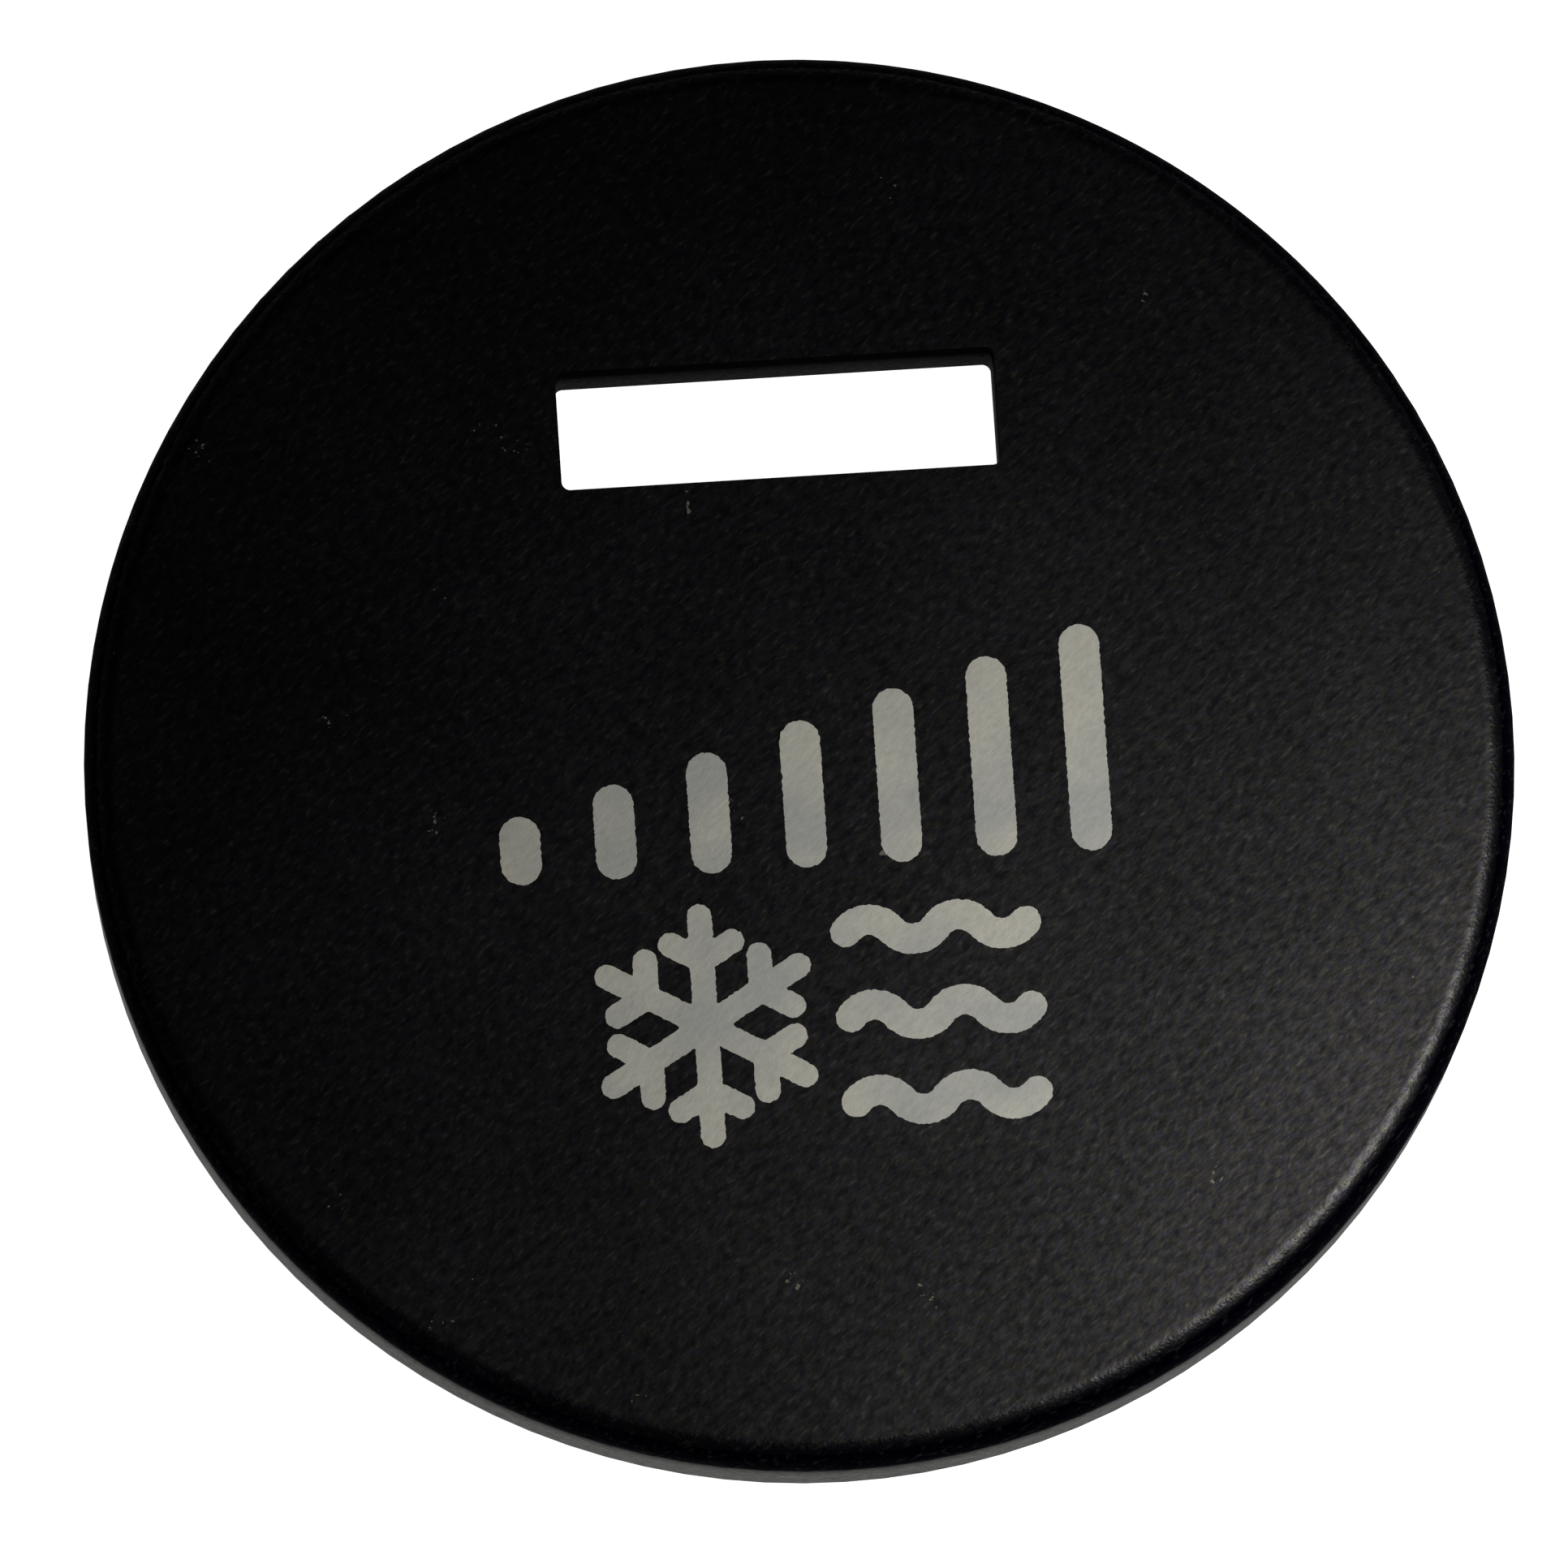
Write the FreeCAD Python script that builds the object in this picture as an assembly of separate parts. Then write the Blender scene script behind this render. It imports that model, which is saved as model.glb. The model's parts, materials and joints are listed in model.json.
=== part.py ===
import FreeCAD, Part

import math
import os

# Illuminated round push button for a vehicle's climate-control panel.
#
# A thin round cap with an indicator slot and a two-row legend snaps onto a carrier. The carrier
# slides in a barrel and presses two silicone domes, whose pills close contacts on a circuit board.
# Lamps on the board light the legend and the slot. A rear cover with a connector socket closes
# the barrel.
#
# Millimetres. +Z points out of the button's face, +Y from the legend towards the slot, and the
# origin is the centre of the rear face.

V = FreeCAD.Vector
UP = V(0, 0, 1)
SIDES = (-1, 1)

# Driving dimensions.
CAP_RADIUS = 12.5
CAP_RIM_TALL = 2.2
CAP_EDGE_RADIUS = 0.55
FACE_Z = 14.0
TRAVEL = 1.5
SLIDE_GAP = 0.1
FIT_GAP = 0.02
PAST = 1.0

# Cap.
CAP_SKIN = 0.8
CAP_WALL = 0.8
SLOT_LENGTH = 7.7
SLOT_WIDTH = 2.1
SLOT_Y = 6.0
SLOT_DEPTH = 1.7
SLOT_CORNER = 0.15
COLLAR_WALL = 0.7
LEG_X = 5.9
LEG_Y = 3.0
LEG_THICK = 0.7
LEG_WIDE = 1.8
LEG_HOOK = 0.4
LEG_HOOK_TALL = 0.9

# Legend: a row of rising bars over a snowflake and three air waves.
BARS = 7
BAR_PITCH = 1.66
BAR_WIDTH = 0.66
BAR_SHORTEST = 1.15
BAR_TALLEST = 3.95
BAR_BASE_Y = -1.95
SYMBOL_Y = -4.65
FLAKE_STROKE = 0.38
WAVE_STROKE = 0.48
FLAKE_X = -1.95
FLAKE_RADIUS = 2.12
BRANCH_AT = 1.15
BRANCH_LENGTH = 0.62
BRANCH_ANGLE = 60.0
WAVE_X = 2.15
WAVE_PITCH = 1.5
WAVE_RADIUS = 0.5
WAVE_ARCS = 4
WAVE_HALF_ANGLE = 52.0

# Layers under the face.
SKIN_Z = FACE_Z - CAP_SKIN
RIM_Z = FACE_Z - CAP_RIM_TALL
COLLAR_Z = FACE_Z - SLOT_DEPTH
DIFFUSER_THICK = 1.0
DIFFUSER_Z = SKIN_Z - DIFFUSER_THICK
DIFFUSER_RADIUS = CAP_RADIUS - CAP_WALL - SLIDE_GAP
CARRIER_THICK = 0.8
CARRIER_Z = DIFFUSER_Z - CARRIER_THICK

# Board, silicone mat, domes and pills.
BOARD_Z = 3.2
BOARD_THICK = 1.0
BOARD_RADIUS = 8.85
BOARD_TOP = BOARD_Z + BOARD_THICK
MAT_THICK = 0.6
MAT_TOP = BOARD_TOP + MAT_THICK
MAT_RADIUS = 8.7
DOME_X = 6.2
DOME_BASE_RADIUS = 1.9
DOME_TOP_RADIUS = 1.35
DOME_WALL = 0.4
DOME_TOP = 7.2
DOME_ROOF = 0.9
ROOF_Z = DOME_TOP - DOME_ROOF
PAD_THICK = 0.05
PAD_TEETH = 5
PILL_RADIUS = 0.85
PILL_Z = BOARD_TOP + PAD_THICK + TRAVEL + 0.05

# Barrel.
BARREL_RADIUS = 10.4
BARREL_TOP = 9.7
BORE_RADIUS = 9.0
FLANGE_RADIUS = 11.2
FLANGE_THICK = 0.8
KEY_NOTCH = 1.8
KEY_NOTCH_DEPTH = 0.5
DECK_Z = MAT_TOP
DECK_THICK = 0.8
DECK_TOP = DECK_Z + DECK_THICK
DIVIDER_LENGTH = 9.0
DIVIDER_THICK = 0.6
DIVIDER_Y = 4.15
BOSS_CIRCLE = 7.5
BOSS_RADIUS = 1.6
BOSS_GAP = 0.15
PILOT_RADIUS = 0.8
PILOT_TOP = DECK_TOP - 0.4
SCREW_ANGLES = (-45.0, 135.0)
MOUNT_ANGLES = (45.0, 225.0)

# Carrier.
PLATE_RADIUS = 11.5
TUBE_RADIUS = BORE_RADIUS - SLIDE_GAP
TUBE_WALL = 0.8
TUBE_Z = DOME_TOP
BARB_ANGLES = (90.0, 210.0, 330.0)
BARB_WIDE = 3.0
BARB_TALL = 1.0
BARB_REACH = 0.95
SLIT_WIDE = 0.4
SLIT_STOP = 0.6
RIB_WIDE = 1.6
RIB_REACH = 0.6
FOOT_RADIUS = 1.0
FOOT_WEB = 0.8
WINDOW_HALF = 5.0
WINDOW_TOP_Y = 2.9
WINDOW_BOTTOM_Y = -7.4
WINDOW_RADIUS = 7.6

# Reflector box.
REFLECTOR_HALF = 3.6
REFLECTOR_TOP_Y = 2.4
REFLECTOR_BOTTOM_Y = -6.1
REFLECTOR_MIDDLE_Y = (REFLECTOR_TOP_Y + REFLECTOR_BOTTOM_Y) / 2
REFLECTOR_WALL = 0.5
REFLECTOR_TOP = 9.6
REFLECTOR_FLARE = 0.8

# Indicator light guide.
GUIDE_FLANGE_THICK = 0.5
GUIDE_MARGIN = 0.5
GUIDE_LENGTH = 7.0
GUIDE_WIDTH = 1.9
GUIDE_FLANGE_Z = COLLAR_Z - FIT_GAP - GUIDE_FLANGE_THICK
GUIDE_EDGE = 0.25

# Lamps: two for the legend, one for the indicator.
LAMP_LONG = 3.2
LAMP_WIDE = 2.5
LAMP_TALL = 1.9
LAMP_CUP_RADIUS = 1.1
LAMP_CUP_FLOOR_RADIUS = 0.8
LAMP_CUP_DEPTH = 0.9
LENS_DIP = 0.05
LEAD_LONG = 2.0
LEAD_THICK = 0.15
LEAD_TALL = 0.9
LEGEND_LAMP_X = 1.7
LEGEND_LAMP_Y = -2.4
GUIDE_Z = BOARD_TOP + LAMP_TALL + TRAVEL + 0.2

# Chip parts under the board.
CHIP_LONG = 1.6
CHIP_WIDE = 0.8
CHIP_TALL = 0.5
CHIP_END = 0.3
RESISTOR_PLACES = ((-4.6, -2.8), (-2.4, -2.8), (4.6, -2.8))
CAPACITOR_PLACE = (0.0, -5.4)
CAPACITOR_SCALE = 1.25

# Connector.
PINS = 5
PIN_PITCH = 1.25
PIN_SIDE = 0.4
PIN_TIP = 0.1
PIN_HOLE_RADIUS = 0.34
PIN_Z = 0.35
PIN_TOP = BOARD_TOP + 0.4
PLUG_Y = 0.8
HEADER_LENGTH = 6.6
HEADER_WIDTH = 2.6
HEADER_TALL = 0.8
SOLDER_RADIUS = 0.5
SOLDER_TALL = 0.3
SOCKET_LENGTH = 7.8
SOCKET_WIDTH = 3.4
SOCKET_WALL = 0.6
SOCKET_KEY = 1.4
SOCKET_KEY_DEPTH = 0.4

# Rear cover and its screws.
COVER_THICK = 1.4
COVER_CHAMFER = 0.3
SPIGOT_RADIUS = BORE_RADIUS - SLIDE_GAP / 2
SPIGOT_WALL = 0.8
SCREW_HOLE_RADIUS = 0.95
SCREW_RECESS = 0.8
SCREW_RECESS_RADIUS = 1.75
SCREW_HEAD_RADIUS = 1.55
SCREW_HEAD_TALL = 0.75
SCREW_HEAD_EDGE = 0.3
SCREW_LENGTH = 4.0
SCREW_POINT = 0.5
SCREW_RADIUS = PILOT_RADIUS - FIT_GAP
DRIVE_LENGTH = 1.7
DRIVE_WIDTH = 0.35
DRIVE_DEPTH = 0.45


def disc(radius, z, height, x=0.0, y=0.0):
    """A round block standing at x, y, from z up."""
    return Part.makeCylinder(radius, height, V(x, y, z))


def ring(outer, inner, z, height):
    """A tube about the button's axis, from z up."""
    return disc(outer, z, height).cut(disc(inner, z - PAST, height + 2 * PAST))


def block(length, width, height, x, y, z):
    """A box centred on x, y, from z up."""
    return Part.makeBox(length, width, height, V(x - length / 2, y - width / 2, z))


def cut_all(shape, tools):
    """Shape with every tool taken out of it."""
    for tool in tools:
        shape = shape.cut(tool)
    return shape


def turned(shape, angle):
    """A copy of shape turned about the button's axis."""
    copy = shape.copy()
    copy.rotate(V(0, 0, 0), UP, angle)
    return copy


def around(angles, radius, z, height):
    """Round blocks on the boss circle at the given angles."""
    places = [math.radians(angle) for angle in angles]
    return [disc(radius, z, height, BOSS_CIRCLE * math.cos(a), BOSS_CIRCLE * math.sin(a))
            for a in places]


def lower_edges(shape, z):
    """The edges of shape that lie flat at height z."""
    return [e for e in shape.Edges if all(abs(v.Z - z) < 1e-6 for v in e.Vertexes)]


def upright_slab(points, y, width):
    """A slab whose outline is a list of (x, z) points, centred on y."""
    corners = [V(x, y - width / 2, z) for x, z in points + points[:1]]
    return Part.Face(Part.makePolygon(corners)).extrude(V(0, width, 0))


def stroke(start, end, width, z, height):
    """A straight mark with round ends, between two (x, y) points."""
    dx = end[0] - start[0]
    dy = end[1] - start[1]
    length = math.hypot(dx, dy)
    bar = turned(block(length, width, height, length / 2, 0, z), math.degrees(math.atan2(dy, dx)))
    bar.translate(V(start[0], start[1], 0))
    ends = [disc(width / 2, z, height, x, y) for x, y in (start, end)]
    return bar.multiFuse(ends).removeSplitter()


def curved_stroke(x, y, radius, middle, width, z, height):
    """An arc of a mark about x, y, as wide each side of the middle angle as a wave's arc."""
    half = width / 2
    corners = [V(radius - half, 0, z), V(radius + half, 0, z), V(radius + half, 0, z + height),
               V(radius - half, 0, z + height), V(radius - half, 0, z)]
    mark = Part.Face(Part.makePolygon(corners)).revolve(V(0, 0, 0), UP, 2 * WAVE_HALF_ANGLE)
    mark = turned(mark, middle - WAVE_HALF_ANGLE)
    mark.translate(V(x, y, 0))
    return mark


def rising_bars(grow, z, height):
    """The upper legend row: bars that rise to the right."""
    marks = []
    for i in range(BARS):
        x = (i - (BARS - 1) / 2) * BAR_PITCH
        tall = BAR_SHORTEST + (BAR_TALLEST - BAR_SHORTEST) * i / (BARS - 1)
        low = BAR_BASE_Y + BAR_WIDTH / 2
        high = BAR_BASE_Y + tall - BAR_WIDTH / 2
        marks.append(stroke((x, low), (x, high), BAR_WIDTH + 2 * grow, z, height))
    return marks


def snowflake(grow, z, height):
    """Six arms, each with a pair of branches."""
    width = FLAKE_STROKE + 2 * grow
    tip = FLAKE_RADIUS - FLAKE_STROKE / 2
    lean = math.radians(BRANCH_ANGLE)
    arms = [turned(stroke((0, -tip), (0, tip), width, z, height), 60.0 * i) for i in range(3)]
    for i in range(6):
        for side in SIDES:
            end = (side * BRANCH_LENGTH * math.sin(lean), BRANCH_AT + BRANCH_LENGTH * math.cos(lean))
            arms.append(turned(stroke((0, BRANCH_AT), end, width, z, height), 60.0 * i))
    flake = arms[0].multiFuse(arms[1:]).removeSplitter()
    flake.translate(V(FLAKE_X, SYMBOL_Y, 0))
    return flake


def air_wave(y, grow, z, height):
    """One wavy mark of arcs that bend up and down in turn, with round ends."""
    width = WAVE_STROKE + 2 * grow
    half = math.radians(WAVE_HALF_ANGLE)
    step = 2 * WAVE_RADIUS * math.sin(half)
    drop = WAVE_RADIUS * math.cos(half)
    left = WAVE_X - WAVE_ARCS / 2 * step
    pieces = [disc(width / 2, z, height, left + i * step, y) for i in range(WAVE_ARCS + 1)]
    for i in range(WAVE_ARCS):
        way = -1 if i % 2 else 1
        pieces.append(curved_stroke(left + (i + 0.5) * step, y - way * drop, WAVE_RADIUS,
                                    way * 90.0, width, z, height))
    return pieces[0].multiFuse(pieces[1:]).removeSplitter()


def legend(grow, z, height):
    """All the legend's marks, each a solid, widened by grow on every side."""
    waves = [air_wave(SYMBOL_Y + i * WAVE_PITCH, grow, z, height) for i in (-1, 0, 1)]
    return rising_bars(grow, z, height) + [snowflake(grow, z, height)] + waves


def leg_places():
    """The (x, y, side) of the cap's four snap legs. side is the way to the nearer rim."""
    return [(sx * (LEG_X + LEG_THICK / 2), sy * LEG_Y, sx) for sx in SIDES for sy in SIDES]


def snap_leg(x, y, side):
    """A leg that hangs from the skin, with a hook under the carrier's plate."""
    low = CARRIER_Z - LEG_HOOK_TALL
    inside = x - side * LEG_THICK / 2
    catch = CARRIER_Z - FIT_GAP
    leg = block(LEG_THICK, LEG_WIDE, SKIN_Z + CAP_SKIN / 2 - low, x, y, low)
    hook = upright_slab([(inside, catch), (inside - side * LEG_HOOK, catch), (inside, low)], y, LEG_WIDE)
    return leg.fuse(hook)


def button_cap():
    """The black cap: skin, rim, slot collar and four snap legs, pierced by the legend."""
    r = CAP_RADIUS
    flat = r - CAP_EDGE_RADIUS
    bend = CAP_EDGE_RADIUS * math.sqrt(0.5)
    inner = r - CAP_WALL
    shoulder = FACE_Z - CAP_EDGE_RADIUS
    edge = Part.Arc(V(flat, 0, FACE_Z), V(flat + bend, 0, shoulder + bend), V(r, 0, shoulder)).toShape()
    straight = Part.makePolygon([V(r, 0, shoulder), V(r, 0, RIM_Z), V(inner, 0, RIM_Z), V(inner, 0, SKIN_Z),
                                 V(0, 0, SKIN_Z), V(0, 0, FACE_Z), V(flat, 0, FACE_Z)])
    cap = Part.Face(Part.Wire([edge] + straight.Edges)).revolve(V(0, 0, 0), UP, 360)
    collar = block(SLOT_LENGTH + 2 * COLLAR_WALL, SLOT_WIDTH + 2 * COLLAR_WALL,
                   SLOT_DEPTH - CAP_SKIN / 2, 0, SLOT_Y, COLLAR_Z)
    cap = cap.multiFuse([collar] + [snap_leg(x, y, side) for x, y, side in leg_places()])
    slot = block(SLOT_LENGTH, SLOT_WIDTH, SLOT_DEPTH + 2 * PAST, 0, SLOT_Y, COLLAR_Z - PAST)
    upright = [e for e in slot.Edges if abs(e.tangentAt(e.FirstParameter).z) > 0.9]
    cap = cap.cut(slot.makeFillet(SLOT_CORNER, upright))
    return cut_all(cap, legend(FIT_GAP, SKIN_Z - PAST, CAP_SKIN + 2 * PAST)).removeSplitter()


def legend_diffuser():
    """The milky plate under the skin, with the legend's marks standing up through it."""
    plate = disc(DIFFUSER_RADIUS, DIFFUSER_Z, DIFFUSER_THICK - FIT_GAP)
    room = 2 * SLIDE_GAP
    low = DIFFUSER_Z - PAST
    tall = DIFFUSER_THICK + 2 * PAST
    collar = block(SLOT_LENGTH + 2 * COLLAR_WALL + room, SLOT_WIDTH + 2 * COLLAR_WALL + room,
                   tall, 0, SLOT_Y, low)
    legs = [block(LEG_THICK + room, LEG_WIDE + room, tall, x, y, low) for x, y, side in leg_places()]
    plate = cut_all(plate, [collar] + legs)
    root = DIFFUSER_THICK / 2
    marks = legend(0, SKIN_Z - root, CAP_SKIN + root - FIT_GAP)
    return plate.multiFuse(marks).removeSplitter()


def guide_flange(grow, z, height):
    """The outline of the light guide's flange."""
    return block(SLOT_LENGTH + 2 * (GUIDE_MARGIN + grow), SLOT_WIDTH + 2 * (GUIDE_MARGIN + grow),
                 height, 0, SLOT_Y, z)


def indicator_light_guide():
    """The milky bar that carries light from the indicator lamp to the slot."""
    bar = block(GUIDE_LENGTH, GUIDE_WIDTH, GUIDE_FLANGE_Z - GUIDE_Z, 0, SLOT_Y, GUIDE_Z)
    guide = guide_flange(0, GUIDE_FLANGE_Z, GUIDE_FLANGE_THICK).fuse(bar).removeSplitter()
    return guide.makeFillet(GUIDE_EDGE, lower_edges(guide, GUIDE_Z))


def carrier_openings():
    """The legend's window, the light guide's seat and the slots for the cap's legs."""
    low = CARRIER_Z - PAST
    tall = CARRIER_THICK + 2 * PAST
    window = block(2 * WINDOW_HALF, WINDOW_TOP_Y - WINDOW_BOTTOM_Y, tall,
                   0, (WINDOW_TOP_Y + WINDOW_BOTTOM_Y) / 2, low)
    room = 2 * SLIDE_GAP
    openings = [window.common(disc(WINDOW_RADIUS, low, tall)),
                guide_flange(SLIDE_GAP, GUIDE_FLANGE_Z, tall),
                block(GUIDE_LENGTH + room, GUIDE_WIDTH + room, tall, 0, SLOT_Y, low)]
    for x, y, side in leg_places():
        openings.append(block(LEG_THICK + LEG_HOOK + room, LEG_WIDE + room, tall,
                              x + side * LEG_HOOK / 2, y, low))
    return openings


def barb_and_slits(angle):
    """A wedge that keeps the carrier in the barrel, and the slits that let it spring inwards."""
    start = TUBE_RADIUS - TUBE_WALL / 2
    reach = TUBE_RADIUS + BARB_REACH
    shoulder = TUBE_Z + 0.7 * BARB_TALL
    top = TUBE_Z + BARB_TALL
    wedge = upright_slab([(start, TUBE_Z), (TUBE_RADIUS, TUBE_Z), (reach, shoulder), (reach, top),
                          (start, top)], 0, BARB_WIDE)
    slits = [block(3 * TUBE_WALL, SLIT_WIDE, CARRIER_Z - SLIT_STOP - TUBE_Z, start,
                   side * (BARB_WIDE + SLIT_WIDE) / 2, TUBE_Z) for side in SIDES]
    return turned(wedge, angle), [turned(slit, angle) for slit in slits]


def carrier_side(side):
    """The anti-turn rib, the foot that presses a dome, and the web that joins them."""
    tall = CARRIER_Z - TUBE_Z
    inside = TUBE_RADIUS - TUBE_WALL / 2
    rib = block(TUBE_RADIUS + RIB_REACH - inside, RIB_WIDE, tall,
                side * (TUBE_RADIUS + RIB_REACH + inside) / 2, 0, TUBE_Z)
    foot = disc(FOOT_RADIUS, TUBE_Z, tall, side * DOME_X, 0)
    web = block(inside - DOME_X, FOOT_WEB, tall, side * (inside + DOME_X) / 2, 0, TUBE_Z)
    return [rib, foot, web]


def cap_carrier():
    """The plate that the cap snaps onto, its guide tube, barbs, ribs and two pressing feet."""
    pieces = [ring(TUBE_RADIUS, TUBE_RADIUS - TUBE_WALL, TUBE_Z, CARRIER_Z - TUBE_Z)]
    slits = []
    for angle in BARB_ANGLES:
        wedge, beside = barb_and_slits(angle)
        pieces.append(wedge)
        slits += beside
    for side in SIDES:
        pieces += carrier_side(side)
    carrier = disc(PLATE_RADIUS, CARRIER_Z, CARRIER_THICK).multiFuse(pieces)
    return cut_all(carrier, slits + carrier_openings()).removeSplitter()


def reflector_foot(grow, z, height):
    """The straight foot of the reflector box, as a block."""
    return block(2 * (REFLECTOR_HALF + grow), REFLECTOR_TOP_Y - REFLECTOR_BOTTOM_Y + 2 * grow,
                 height, 0, REFLECTOR_MIDDLE_Y, z)


def reflector_cone(inset):
    """The flared part of the reflector box, drawn in by inset on every side."""
    levels = []
    for z, flare in ((DECK_TOP, 0.0), (REFLECTOR_TOP, REFLECTOR_FLARE)):
        half = REFLECTOR_HALF + flare - inset
        tall = (REFLECTOR_TOP_Y - REFLECTOR_BOTTOM_Y + flare) / 2 - inset
        low = REFLECTOR_MIDDLE_Y - tall
        high = REFLECTOR_MIDDLE_Y + tall
        levels.append(Part.makePolygon([V(-half, low, z), V(half, low, z), V(half, high, z),
                                        V(-half, high, z), V(-half, low, z)]))
    return Part.makeLoft(levels, True, True)


def reflector_box():
    """The white funnel that throws the legend lamps' light up to the diffuser."""
    foot = reflector_foot(0, MAT_TOP, DECK_THICK)
    foot = foot.cut(reflector_foot(-REFLECTOR_WALL, MAT_TOP - PAST, DECK_THICK + 2 * PAST))
    funnel = reflector_cone(0).cut(reflector_cone(REFLECTOR_WALL))
    return foot.fuse(funnel).removeSplitter()


def barrel_openings():
    """Dome holes, rib grooves, barb windows, lamp openings, screw pilots and the key notch."""
    low = DECK_Z - PAST / 2
    tall = DECK_THICK + PAST
    openings = around(SCREW_ANGLES + MOUNT_ANGLES, PILOT_RADIUS, -PAST, PILOT_TOP + PAST)
    openings.append(reflector_foot(FIT_GAP, low, tall))
    openings.append(block(LAMP_LONG + 8 * SLIDE_GAP, LAMP_WIDE + 6 * SLIDE_GAP, tall, 0, SLOT_Y, low))
    openings.append(block(KEY_NOTCH, 2 * KEY_NOTCH_DEPTH, 2 * PAST, 0, FLANGE_RADIUS, BARREL_TOP - PAST))
    groove = RIB_REACH + 2 * SLIDE_GAP + PAST
    for side in SIDES:
        openings.append(disc(DOME_BASE_RADIUS + 3 * SLIDE_GAP, low, tall, side * DOME_X, 0))
        openings.append(block(groove, RIB_WIDE + 2 * SLIDE_GAP, BARREL_TOP,
                              side * (BORE_RADIUS - PAST + groove / 2), 0, DECK_TOP))
    window = block(2 * PAST + BARREL_RADIUS - BORE_RADIUS, BARB_WIDE + 4 * SLIDE_GAP,
                   TUBE_Z + BARB_TALL + FIT_GAP - DECK_TOP, (BARREL_RADIUS + BORE_RADIUS) / 2, 0, DECK_TOP)
    return openings + [turned(window, angle) for angle in BARB_ANGLES]


def barrel():
    """The fixed barrel: wall, flange, deck over the board, light divider and four bosses."""
    body = ring(BARREL_RADIUS, BORE_RADIUS, COVER_THICK, BARREL_TOP - COVER_THICK)
    pieces = [ring(FLANGE_RADIUS, BORE_RADIUS, BARREL_TOP - FLANGE_THICK, FLANGE_THICK),
              disc((BORE_RADIUS + BARREL_RADIUS) / 2, DECK_Z, DECK_THICK),
              block(DIVIDER_LENGTH, DIVIDER_THICK, BARREL_TOP - DECK_TOP, 0, DIVIDER_Y, DECK_TOP)]
    pieces += around(SCREW_ANGLES, BOSS_RADIUS, COVER_THICK, DECK_TOP - COVER_THICK)
    pieces += around(MOUNT_ANGLES, BOSS_RADIUS, 0, DECK_TOP)
    return cut_all(body.multiFuse(pieces), barrel_openings()).removeSplitter()


def dome_mat():
    """The flat web of the silicone mat, open round the domes, lamps, bosses and reflector."""
    low = BOARD_TOP - PAST
    tall = MAT_THICK + 2 * PAST
    openings = around(SCREW_ANGLES + MOUNT_ANGLES, BOSS_RADIUS + BOSS_GAP, low, tall)
    openings.append(reflector_foot(SLIDE_GAP - REFLECTOR_WALL, low, tall))
    openings.append(block(LAMP_LONG + 6 * SLIDE_GAP, LAMP_WIDE + 6 * SLIDE_GAP, tall, 0, SLOT_Y, low))
    openings += [disc(DOME_BASE_RADIUS - DOME_WALL, low, tall, side * DOME_X, 0) for side in SIDES]
    return cut_all(disc(MAT_RADIUS, BOARD_TOP, MAT_THICK), openings).removeSplitter()


def silicone_domes():
    """The two domes that push the carrier back: a thin cone under a thick roof."""
    domes = []
    for side in SIDES:
        place = V(side * DOME_X, 0, MAT_TOP)
        tall = ROOF_Z - MAT_TOP
        outer = Part.makeCone(DOME_BASE_RADIUS, DOME_TOP_RADIUS, tall, place)
        inner = Part.makeCone(DOME_BASE_RADIUS - DOME_WALL, DOME_TOP_RADIUS - DOME_WALL, tall, place)
        roof = disc(DOME_TOP_RADIUS, ROOF_Z, DOME_ROOF, side * DOME_X, 0)
        domes.append(outer.cut(inner).fuse(roof).removeSplitter())
    return Part.makeCompound(domes)


def carbon_pills():
    """The conductive pills under the dome roofs."""
    return Part.makeCompound([disc(PILL_RADIUS, PILL_Z, ROOF_Z - PILL_Z, side * DOME_X, 0)
                              for side in SIDES])


def contact_pads():
    """Under each pill, two comb-shaped pads whose teeth lie between each other."""
    pitch = 2 * PILL_RADIUS / PAD_TEETH
    wide = pitch / 2
    combs = []
    for side in SIDES:
        for half in SIDES:
            x = side * DOME_X
            comb = [block(2 * PILL_RADIUS, wide, PAD_THICK, x, half * (PILL_RADIUS + wide), BOARD_TOP)]
            for i in range(0 if half > 0 else 1, PAD_TEETH, 2):
                comb.append(block(wide, 2 * PILL_RADIUS, PAD_THICK,
                                  x + (i - (PAD_TEETH - 1) / 2) * pitch, half * wide, BOARD_TOP))
            combs.append(comb[0].multiFuse(comb[1:]).removeSplitter())
    return Part.makeCompound(combs)


def circuit_board():
    """The round board, notched round the bosses and drilled for the connector's pins."""
    low = BOARD_Z - PAST
    tall = BOARD_THICK + 2 * PAST
    openings = around(SCREW_ANGLES + MOUNT_ANGLES, BOSS_RADIUS + BOSS_GAP, low, tall)
    openings += [disc(PIN_HOLE_RADIUS, low, tall, x, PLUG_Y) for x in pin_places()]
    return cut_all(disc(BOARD_RADIUS, BOARD_Z, BOARD_THICK), openings).removeSplitter()


def legend_lamps():
    """The (x, y, quarter turns) of the two lamps under the legend."""
    return [(side * LEGEND_LAMP_X, LEGEND_LAMP_Y, 1) for side in SIDES]


def indicator_lamps():
    """The (x, y, quarter turns) of the lamp under the slot."""
    return [(0.0, SLOT_Y, 0)]


def lamp_cup(x, y, radius, height):
    """The round cup in a lamp's top, up to the given height over the cup's floor."""
    z = BOARD_TOP + LAMP_TALL - LAMP_CUP_DEPTH
    return Part.makeCone(LAMP_CUP_FLOOR_RADIUS, radius, height, V(x, y, z))


def lamp_bodies(places):
    """White lamp packages with a round cup in the top."""
    lamps = []
    for x, y, turns in places:
        long, wide = (LAMP_WIDE, LAMP_LONG) if turns else (LAMP_LONG, LAMP_WIDE)
        body = block(long, wide, LAMP_TALL, x, y, BOARD_TOP)
        lamps.append(body.cut(lamp_cup(x, y, LAMP_CUP_RADIUS, LAMP_CUP_DEPTH)))
    return Part.makeCompound(lamps)


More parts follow.
